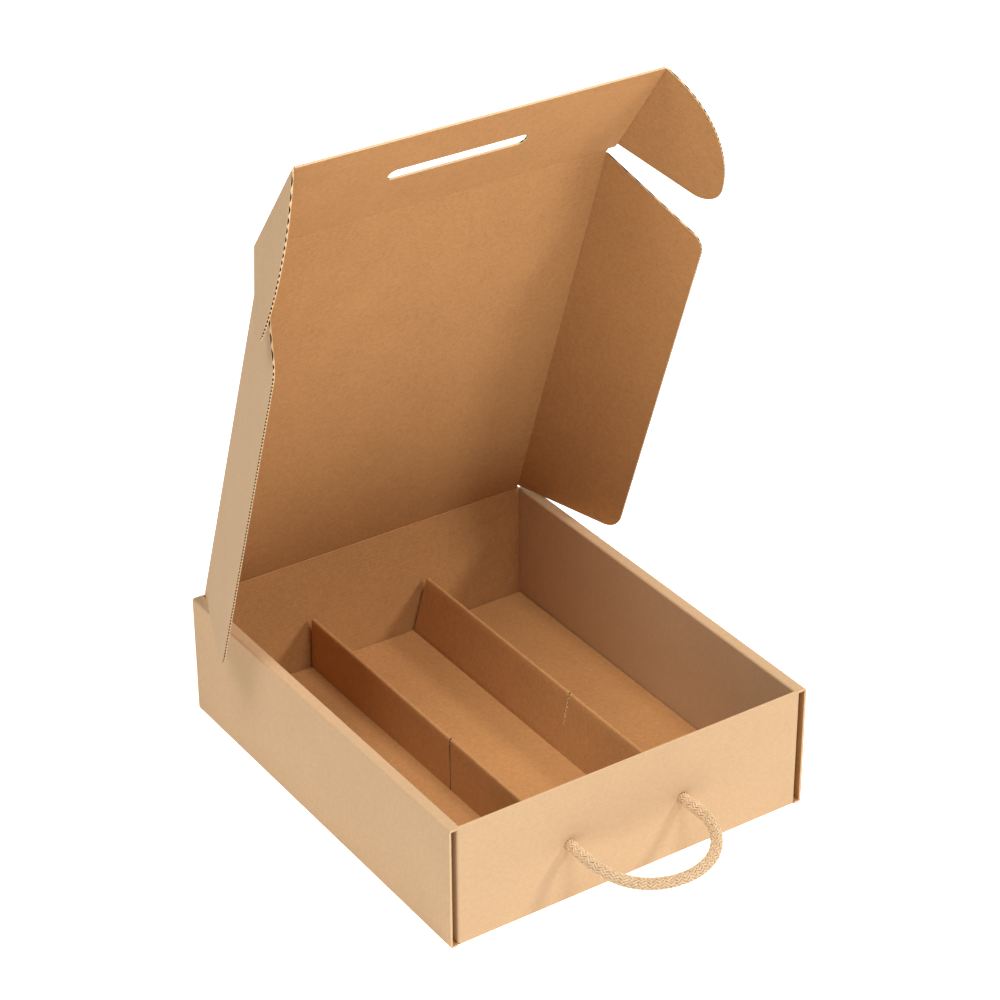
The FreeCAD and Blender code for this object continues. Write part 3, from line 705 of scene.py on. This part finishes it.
def flap_columns(s):
    """The flap's two ends, and the slot's two ends, which bulge as circles do."""
    radius = SLOT_WIDTH / 2
    bulge = np.sqrt(np.maximum(radius ** 2 - (s - SLOT_RISE) ** 2, 0))
    reach = SLOT_LENGTH / 2 - radius + bulge
    edge = np.full(len(s), flap_half - CREASE_REACH)
    return np.stack([-edge, HANDLE_SHIFT - reach, HANDLE_SHIFT + reach, edge], 1)


def flap_keep(s, t):
    """Board everywhere but between the slot's two ends."""
    return ~((np.abs(s - SLOT_RISE) < SLOT_WIDTH / 2) & (np.abs(t - HANDLE_SHIFT) < SLOT_LENGTH / 3))


slot_turns = np.linspace(-math.pi / 2, math.pi / 2, 17)
flap_breaks = np.concatenate([[CREASE_REACH, FLAP_REACH], SLOT_RISE + SLOT_WIDTH / 2 * np.sin(slot_turns)])
front_flap = fluted_board("front_flap_board", place_flap, flap_breaks, flap_columns, flap_keep)
finish_board(front_flap, "front_flap", "front_flap")
crease("front_flap_crease", flap_fold, across, lid_way, flap_way, lid_out, flap_out,
       -lid_half, lid_half)

# Dust flaps: the lid's tapered side flaps, with two round outer corners. They stand across the
# side walls' tops and prop the lid. The flutes run out to their free edges.
DUST_REACH = 0.091
DUST_START = 0.003
DUST_RISE = 0.020
DUST_TOP_GAP = 0.0034
DUST_DROP = 0.024
DUST_LOW_ROUND = 0.016
DUST_TOP_ROUND = 0.013


def corner_round(way, line, slope, radius, limit):
    """An outline that climbs on a slanted line to a level, with a round between them. way runs from the
    line's start; the round's centre is one radius from the line and one below the level."""
    lean = math.hypot(1, slope)
    centre_w = limit - radius
    centre_u = (centre_w - line) / slope + radius * lean / slope
    slanted = line + slope * way
    touch = centre_u - radius * slope / lean
    arc = centre_w + np.sqrt(np.maximum(radius ** 2 - (way - centre_u) ** 2, 0))
    return np.where(way < touch, slanted, np.where(way < centre_u, arc, limit)), touch, centre_u


def dust_flap(side, side_name):
    """One dust flap: rows along the lid's side, columns out to the free edge."""
    angle = math.radians(joints[side_name + "_dust_hinge"]["range_deg"][1])
    fold = hinge + across * side * lid_half
    out = across * side * math.cos(angle) - lid_out * math.sin(angle)
    outside = lid_out * math.cos(angle) + across * side * math.sin(angle)
    low_slope = (DUST_REACH - CREASE_REACH) / DUST_RISE
    top = lid_reach - DUST_TOP_GAP
    top_slope = (DUST_REACH - CREASE_REACH) / DUST_DROP

    def place(s, t, h):
        """The fold's corner plus s up the lid, t out and h outwards."""
        return fold + s[..., None] * lid_way + t[..., None] * out + h[..., None] * outside

    def edge(s):
        """The free edge: the lower of the two slanted and rounded outlines, and where they touch."""
        low = corner_round(s - DUST_START, CREASE_REACH, low_slope, DUST_LOW_ROUND, DUST_REACH)
        high = corner_round(top - s, CREASE_REACH, top_slope, DUST_TOP_ROUND, DUST_REACH)
        return np.minimum(low[0], high[0]), low[1:], high[1:]

    def columns(s):
        """The fold's side and the free edge."""
        return np.stack([np.full(len(s), CREASE_REACH), edge(s)[0]], 1)

    low_marks, high_marks = edge(np.array([0.1]))[1:]
    breaks = np.concatenate([
        [DUST_START + 0.00002, top - 0.00002],
        DUST_START + np.linspace(low_marks[0], low_marks[1], 13),
        top - np.linspace(high_marks[0], high_marks[1], 13),
    ])
    piece = fluted_board(side_name + "_dust_flap_board", place, breaks, columns)
    finish_board(piece, side_name + "_dust_flap", side_name + "_dust_flap")
    crease(side_name + "_dust_crease", fold, lid_way, across * side, out,
           lid_out, outside, DUST_START, top)


dust_flap(-1, "left")
dust_flap(1, "right")

# Ears: the front flap's tuck ears, each with a straight edge, a round tip and a long curved
# edge. In the closed box they slide into the slots beside the front wall.
EAR_TOP_GAP = 0.004
EAR_REACH = 0.079
EAR_TIP_ROUND = 0.016
EAR_CURVE = 0.097
EAR_FOOT_GAP = 0.001
tip_v = EAR_TOP_GAP + EAR_TIP_ROUND
tip_q = EAR_REACH - EAR_TIP_ROUND
foot_v = FLAP_REACH - EAR_FOOT_GAP
span_v, span_q = tip_v - foot_v, tip_q - CREASE_REACH
span = math.hypot(span_v, span_q)
ease = (EAR_CURVE ** 2 - (EAR_CURVE - EAR_TIP_ROUND) ** 2 + span ** 2) / (2 * span)
swing = math.sqrt(EAR_CURVE ** 2 - ease ** 2)
curve_v = foot_v + (span_v * ease - span_q * swing) / span
curve_q = CREASE_REACH + (span_q * ease + span_v * swing) / span
touch_scale = EAR_CURVE / math.hypot(tip_v - curve_v, tip_q - curve_q)
touch_v = curve_v + (tip_v - curve_v) * touch_scale


def ear_edge(v):
    """The free edge over the straight side, the tip's circle and the long curve."""
    tip = tip_q + np.sqrt(np.maximum(EAR_TIP_ROUND ** 2 - (v - tip_v) ** 2, 0))
    curve = curve_q + np.sqrt(np.maximum(EAR_CURVE ** 2 - (v - curve_v) ** 2, 0))
    return np.where(v < touch_v, tip, curve)


def ear(side, side_name):
    """One ear: rows along the front flap's end, columns out to the free edge."""
    angle = math.radians(joints[side_name + "_ear_hinge"]["range_deg"][1])
    fold = flap_fold + across * side * flap_half
    out = across * side * math.cos(angle) - flap_out * math.sin(angle)
    outside = flap_out * math.cos(angle) + across * side * math.sin(angle)

    def place(s, t, h):
        """The fold's corner plus s up the flap, t out and h outwards."""
        return fold + s[..., None] * flap_way + t[..., None] * out + h[..., None] * outside

    def columns(s):
        """The fold's side and the free edge."""
        return np.stack([np.full(len(s), CREASE_REACH), ear_edge(s)], 1)

    turns = np.linspace(0, math.acos((tip_v - touch_v) / EAR_TIP_ROUND), 25)
    breaks = np.concatenate([tip_v - EAR_TIP_ROUND * np.cos(turns),
                             np.linspace(touch_v, foot_v - 0.00002, 60)])
    piece = fluted_board(side_name + "_ear_board", place, breaks, columns)
    finish_board(piece, side_name + "_ear", side_name + "_ear")
    crease(side_name + "_ear_crease", fold, flap_way, across * side, out,
           flap_out, outside, EAR_TOP_GAP, foot_v)


ear(-1, "left")
ear(1, "right")

# Rope handle: a length of plaited straw-coloured rope. It goes through the front wall's two holes,
# is knotted behind them and stands forward of the wall in a loop that droops a little.
ROPE_SIZE = 0.009
ROPE_SEAT = 0.003
ROPE_LENGTH = 0.1884
ROPE_STRANDS = 11
PLAIT_PITCH = 0.034
STRAND_RISE = 0.00046
STRAND_HALF_THICK = 0.00066
STRAND_FILL = 0.92
STRAND_SIDES = 8
CORE_SIDES = 16
ROPE_ROUTE = [
    (0.0, 0.0, 0.0), (0.0, 12.0, 0.0), (2.5, 30.0, 4.0), (14.0, 48.5, 9.5), (35.0, 60.5, 12.6),
    (59.5, 64.0, 13.0), (81.0, 58.5, 11.6), (95.0, 46.5, 8.8), (102.0, 29.5, 5.0),
    (97.0, 12.0, 0.0), (97.0, 0.0, 0.0),
]
rope_start = np.array([HANDLE_SHIFT - ROPE_SPACING / 2, -DEPTH / 2 + ROPE_SEAT, ROPE_RISE])
offsets = np.array(ROPE_ROUTE) * 0.001
offsets[:, 0] *= ROPE_SPACING / offsets[-1, 0]
rope_points = rope_start + offsets * np.array([1, -1, -1])


def smooth_line(points, name, step):
    """Points of the NURBS line that has these control points, spaced evenly by about the step."""
    line = bpy.data.curves.new(name, "CURVE")
    line.dimensions = "3D"
    line.resolution_u = 24
    spline = line.splines.new("NURBS")
    spline.points.add(len(points) - 1)
    for point, place in zip(spline.points, points):
        point.co = (*place, 1.0)
    spline.order_u = 3
    spline.use_endpoint_u = True
    holder = bpy.data.objects.new(name, line)
    mesh = bpy.data.meshes.new_from_object(holder)
    followed = np.array([vertex.co for vertex in mesh.vertices])
    bpy.data.meshes.remove(mesh)
    bpy.data.objects.remove(holder)
    bpy.data.curves.remove(line)
    way = np.concatenate([[0], np.cumsum(np.linalg.norm(np.diff(followed, axis=0), axis=1))])
    even = np.linspace(0, way[-1], int(way[-1] / step) + 1)
    return np.stack([np.interp(even, way, followed[:, axis]) for axis in range(3)], -1)


def plait(path, radius, strands, pitch, name, squeeze=None, side=None):
    """A round plait: strands in two families that wind opposite ways and pass over two and under two.
    Each is a flat oval tube whose middle winds round the path at a radius of the layer plus the rise times
    a cosine cut off at 1 and -1. A plain core inside closes the gaps, and squeeze thins all of it."""
    way = np.concatenate([[0], np.cumsum(np.linalg.norm(np.diff(path, axis=0), axis=1))])
    tangent = np.gradient(path, way, axis=0)
    tangent /= np.linalg.norm(tangent, axis=1)[:, None]
    side = np.array([0.0, 0.0, 1.0]) if side is None else side
    first = np.cross(side, tangent)
    first /= np.linalg.norm(first, axis=1)[:, None]
    second = np.cross(tangent, first)
    if squeeze is None:
        squeeze = np.ones(len(way))
    scale = radius / (ROPE_SIZE / 2)
    layer = radius - (STRAND_RISE + STRAND_HALF_THICK) * scale
    half_wide = math.pi * layer / strands * math.cos(math.atan(2 * math.pi * layer / pitch)) * STRAND_FILL
    ring = np.linspace(0, 2 * math.pi, STRAND_SIDES + 1)[:-1]
    points, faces, caps, uvs = [], [], [], []
    total = 0
    for family in (1, -1):
        for strand in range(strands):
            angle = 2 * math.pi * (strand / strands + family * way / pitch)
            phase = math.pi * way * strands / pitch
            rise = family * np.cos(phase + math.pi / 4) * math.sqrt(2)
            height = (layer + STRAND_RISE * scale * np.clip(rise, -1, 1)) * squeeze
            radial = first * np.cos(angle)[:, None] + second * np.sin(angle)[:, None]
            centre = path + radial * height[:, None]
            course = np.gradient(centre, way, axis=0)
            course /= np.linalg.norm(course, axis=1)[:, None]
            beside = np.cross(course, radial)
            beside /= np.linalg.norm(beside, axis=1)[:, None]
            across_strand = np.cos(ring)[None, :, None] * beside[:, None, :] * half_wide
            through = np.sin(ring)[None, :, None] * radial[:, None, :] * STRAND_HALF_THICK * scale
            tube = centre[:, None, :] + (across_strand + through) * squeeze[:, None, None]
            number = np.arange(len(way) * STRAND_SIDES).reshape(len(way), STRAND_SIDES) + total
            here, there = number[:-1], number[1:]
            faces.append(np.stack([here, np.roll(here, -1, 1), np.roll(there, -1, 1), there], -1)
                         .reshape(-1, 4))
            caps.append(number[0][::-1])
            caps.append(number[-1])
            points.append(tube.reshape(-1, 3))
            lane = (strand + (0 if family > 0 else strands)) + ring / (2 * math.pi)
            uvs.append(np.stack([np.repeat(way[:, None], STRAND_SIDES, 1),
                                 np.repeat(lane[None, :], len(way), 0)], -1).reshape(-1, 2))
            total += len(way) * STRAND_SIDES
    core_ring = np.linspace(0, 2 * math.pi, CORE_SIDES + 1)[:-1]
    core_radius = (layer - STRAND_RISE * scale) * squeeze
    spokes = (np.cos(core_ring)[None, :, None] * first[:, None, :]
              + np.sin(core_ring)[None, :, None] * second[:, None, :])
    core = (path[:, None, :] + spokes * core_radius[:, None, None])[::4]
    number = np.arange(len(core) * CORE_SIDES).reshape(len(core), CORE_SIDES) + total
    here, there = number[:-1], number[1:]
    faces.append(np.stack([here, np.roll(here, -1, 1), np.roll(there, -1, 1), there], -1).reshape(-1, 4))
    caps.append(number[0][::-1])
    caps.append(number[-1])
    points.append(core.reshape(-1, 3))
    uvs.append(np.zeros((len(core) * CORE_SIDES, 2)))
    points, uvs = np.concatenate(points), np.concatenate(uvs)
    mesh = bpy.data.meshes.new(name)
    mesh.from_pydata(points.tolist(), [], np.concatenate(faces).tolist() + [list(cap) for cap in caps])
    layer_uv = mesh.uv_layers.new(name="way_along_and_strand")
    corners = np.zeros(len(mesh.loops), np.int32)
    mesh.loops.foreach_get("vertex_index", corners)
    layer_uv.data.foreach_set("uv", uvs[corners].astype(np.float32).ravel())
    mesh.polygons.foreach_set("use_smooth", np.ones(len(mesh.polygons), bool))
    mesh.set_sharp_from_angle(angle=math.radians(60))
    mesh.materials.append(straw)
    piece = bpy.data.objects.new(name, mesh)
    scene.collection.objects.link(piece)
    return piece


def straw_fibre(name, pale, deep):
    """Plaited fibre: a noise that is stretched along each strand by the UV map picks a tone between the
    deep and the pale one, and lifts the surface a little."""
    material = bpy.data.materials.new(name)
    material.use_nodes = True
    nodes = material.node_tree.nodes
    links = material.node_tree.links
    shader = nodes["Principled BSDF"]
    shader.inputs["Roughness"].default_value = 0.8
    shader.inputs["Specular IOR Level"].default_value = 0.25
    place = nodes.new("ShaderNodeTexCoord")
    stretch = nodes.new("ShaderNodeMapping")
    stretch.inputs["Scale"].default_value = (260.0, 14.0, 1.0)
    links.new(place.outputs["UV"], stretch.inputs["Vector"])
    lines = nodes.new("ShaderNodeTexNoise")
    lines.inputs["Scale"].default_value = 1.0
    lines.inputs["Detail"].default_value = 4.0
    links.new(stretch.outputs[0], lines.inputs["Vector"])
    ramp = nodes.new("ShaderNodeValToRGB")
    ramp.color_ramp.elements[0].position = 0.3
    ramp.color_ramp.elements[0].color = (*deep, 1.0)
    ramp.color_ramp.elements[1].position = 0.62
    ramp.color_ramp.elements[1].color = (*pale, 1.0)
    links.new(lines.outputs["Fac"], ramp.inputs["Fac"])
    links.new(ramp.outputs["Color"], shader.inputs["Base Color"])
    bump = nodes.new("ShaderNodeBump")
    bump.inputs["Strength"].default_value = 0.6
    bump.inputs["Distance"].default_value = 0.0001
    links.new(lines.outputs["Fac"], bump.inputs["Height"])
    links.new(bump.outputs["Normal"], shader.inputs["Normal"])
    return material


straw = straw_fibre("plaited_straw", pale=(0.80, 0.60, 0.39), deep=(0.40, 0.23, 0.10))
rope_path = smooth_line(rope_points, "rope_line", 0.0005)
rope_way = np.linspace(0, 1, len(rope_path)) * ROPE_LENGTH
HOLE_PINCH = 0.10
PINCH_REACH = 0.007
pinch = HOLE_PINCH * (np.exp(-((rope_way - ROPE_SEAT) / PINCH_REACH) ** 2)
                      + np.exp(-((ROPE_LENGTH - ROPE_SEAT - rope_way) / PINCH_REACH) ** 2))
rope = plait(rope_path, ROPE_SIZE / 2, ROPE_STRANDS, PLAIT_PITCH, "rope_handle_plait", 1 - pinch)
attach(rope, "tray")
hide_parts("rope_handle")

# Knots: each rope end is tied in a thumb knot behind the front wall, too big for its hole. The line
# is a trefoil, open at one place, and the rope is pulled thin in it.
KNOT_SIZE = 0.018
KNOT_FILL = 0.62
KNOT_OPEN = 0.35
KNOT_SET_BACK = 0.4
KNOT_ROPE = 0.0031
KNOT_STRANDS = 6
KNOT_PITCH = 0.020
TREFOIL_REACH = 3.0
for side_name, side in (("left", -1), ("right", 1)):
    turn = np.linspace(KNOT_OPEN, 2 * math.pi - KNOT_OPEN, 260)
    knot_line = np.stack([np.sin(turn) + 2 * np.sin(2 * turn), -np.sin(3 * turn),
                          np.cos(turn) - 2 * np.cos(2 * turn)], -1)
    knot_line *= KNOT_SIZE / 2 / TREFOIL_REACH * KNOT_FILL
    centre = np.array([HANDLE_SHIFT + side * ROPE_SPACING / 2,
                       -DEPTH / 2 + ROPE_SEAT + KNOT_SET_BACK * KNOT_SIZE, ROPE_RISE])
    knot = plait(knot_line + centre, KNOT_ROPE, KNOT_STRANDS, KNOT_PITCH,
                 "rope_knot_" + side_name + "_plait", side=np.array([0.0, 1.0, 0.05]))
    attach(knot, "tray")
    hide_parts("rope_knot_" + side_name)

# Studio: a bright white sweep, a key lamp low at the front right, soft boxes above the front and the
# left, and a faint sky.
FLOOR_SIZE = 12.0
FLOOR_GLOW = 0.80
SKY_LIGHT = 0.13
LIT_PLACE = (0.0, 0.0, 0.15)
floor_corners = [(x * FLOOR_SIZE, y * FLOOR_SIZE, 0.0) for x, y in ((-1, -1), (1, -1), (1, 1), (-1, 1))]
floor_mesh = bpy.data.meshes.new("floor")
floor_mesh.from_pydata(floor_corners, [], [(0, 1, 2, 3)])
floor = bpy.data.objects.new("floor", floor_mesh)
scene.collection.objects.link(floor)
floor_paint = bpy.data.materials.new("white_sweep")
floor_paint.use_nodes = True
floor_nodes = floor_paint.node_tree.nodes
floor_links = floor_paint.node_tree.links
floor_shader = floor_nodes["Principled BSDF"]
floor_shader.inputs["Base Color"].default_value = (0.86, 0.86, 0.86, 1.0)
floor_shader.inputs["Roughness"].default_value = 0.9
floor_shader.inputs["Specular IOR Level"].default_value = 0.0
floor_shader.inputs["Emission Color"].default_value = (1.0, 1.0, 1.0, 1.0)
ray = floor_nodes.new("ShaderNodeLightPath")
glow = floor_nodes.new("ShaderNodeMath")
glow.operation = "MULTIPLY_ADD"
glow.inputs[1].default_value = 0.20
glow.inputs[2].default_value = FLOOR_GLOW
floor_links.new(ray.outputs["Is Camera Ray"], glow.inputs[0])
floor_links.new(glow.outputs[0], floor_shader.inputs["Emission Strength"])
floor_mesh.materials.append(floor_paint)


def soft_lamp(name, place, target, size, power):
    """A square soft box at its place, turned to face its target."""
    data = bpy.data.lights.new(name, "AREA")
    data.size = size
    data.energy = power
    lamp = bpy.data.objects.new(name, data)
    way = Vector(target) - Vector(place)
    lamp.matrix_world = Matrix.Translation(place) @ way.to_track_quat("-Z", "Y").to_matrix().to_4x4()
    scene.collection.objects.link(lamp)


soft_lamp("key", (1.55, -1.85, 1.75), LIT_PLACE, 0.45, 31.0)
soft_lamp("front_box", (0.1, -1.25, 2.75), LIT_PLACE, 1.0, 46.0)
soft_lamp("left_box", (-1.2, -0.3, 2.75), LIT_PLACE, 0.9, 42.0)
sky = bpy.data.worlds.new("sky")
sky.use_nodes = True
scene.world = sky
sky_shade = sky.node_tree.nodes["Background"]
sky_shade.inputs["Color"].default_value = (1.0, 1.0, 1.0, 1.0)
sky_ray = sky.node_tree.nodes.new("ShaderNodeLightPath")
sky_level = sky.node_tree.nodes.new("ShaderNodeMapRange")
sky_level.inputs["To Min"].default_value = SKY_LIGHT
sky_level.inputs["To Max"].default_value = 1.0
sky.node_tree.links.new(sky_ray.outputs["Is Camera Ray"], sky_level.inputs["Value"])
sky.node_tree.links.new(sky_level.outputs["Result"], sky_shade.inputs["Strength"])
